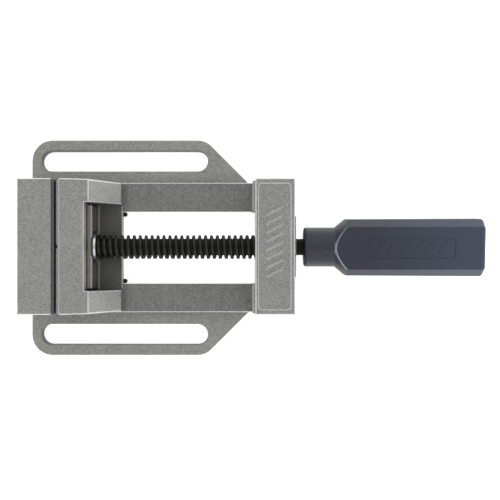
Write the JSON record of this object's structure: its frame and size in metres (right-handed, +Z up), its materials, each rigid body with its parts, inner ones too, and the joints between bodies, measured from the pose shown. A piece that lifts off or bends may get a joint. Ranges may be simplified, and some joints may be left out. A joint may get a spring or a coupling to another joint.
{
  "type": "machine vise",
  "caption": "Low-profile machine vise with slotted mounting flanges, a screw-driven sliding jaw and a straight moulded handle.",
  "frame": {"origin": "on the bottom plane, midway between the two mounting slots and at the middle of their length", "axes": "+X along the screw towards the handle, +Z up, +Y completes a right-handed frame"},
  "size_m": [0.2778, 0.1356, 0.045],
  "materials": {
    "cast_frame": "fine-grained die casting, satin",
    "cast_jaw": "fine-grained die casting, satin",
    "plate_steel": "ground, bluish",
    "thrust_steel": "smooth, bluish",
    "bush_steel": "turned",
    "zinc_steel": "bright zinc",
    "screw_steel": "zinc plated",
    "dark_steel": "black oxide, slightly oily",
    "dark_washer": "dark nylon",
    "handle_plastic": "satin, dark blue-grey"
  },
  "bodies": {
    "base": {"frame_casting": "cast_frame", "spindle_bush": "bush_steel", "fixed_jaw_plate": "plate_steel", "fixed_plate_screws": "screw_steel"},
    "sliding_jaw": {"moving_jaw": "cast_jaw", "moving_jaw_plate": "plate_steel", "moving_plate_screws": "screw_steel", "thrust_plate": "thrust_steel", "rear_thrust_washer": "dark_washer", "keeper_plate": "dark_steel", "keeper_screws": "dark_steel", "keeper_lock_washers": "screw_steel"},
    "screw": {"spindle": "dark_steel", "thrust_collar": "zinc_steel", "front_thrust_washer": "screw_steel", "retaining_ring": "screw_steel", "handle_body": "handle_plastic", "handle_pin": "dark_steel"}
  },
  "joints": [
    {"name": "jaw_slide", "type": "slide", "parent": "base", "child": "sliding_jaw", "axis": [1, 0, 0], "range_m": [-0.0007, 0.0795]},
    {"name": "screw_turn", "type": "hinge", "parent": "sliding_jaw", "child": "screw", "pos_m": [-0.0135, 0, 0.028], "axis": [1, 0, 0], "range_deg": [-72, 7952]}
  ],
  "couplings": [
    {"joint": "screw_turn", "follows": "jaw_slide", "rad_per_m": 1745.3}
  ]
}
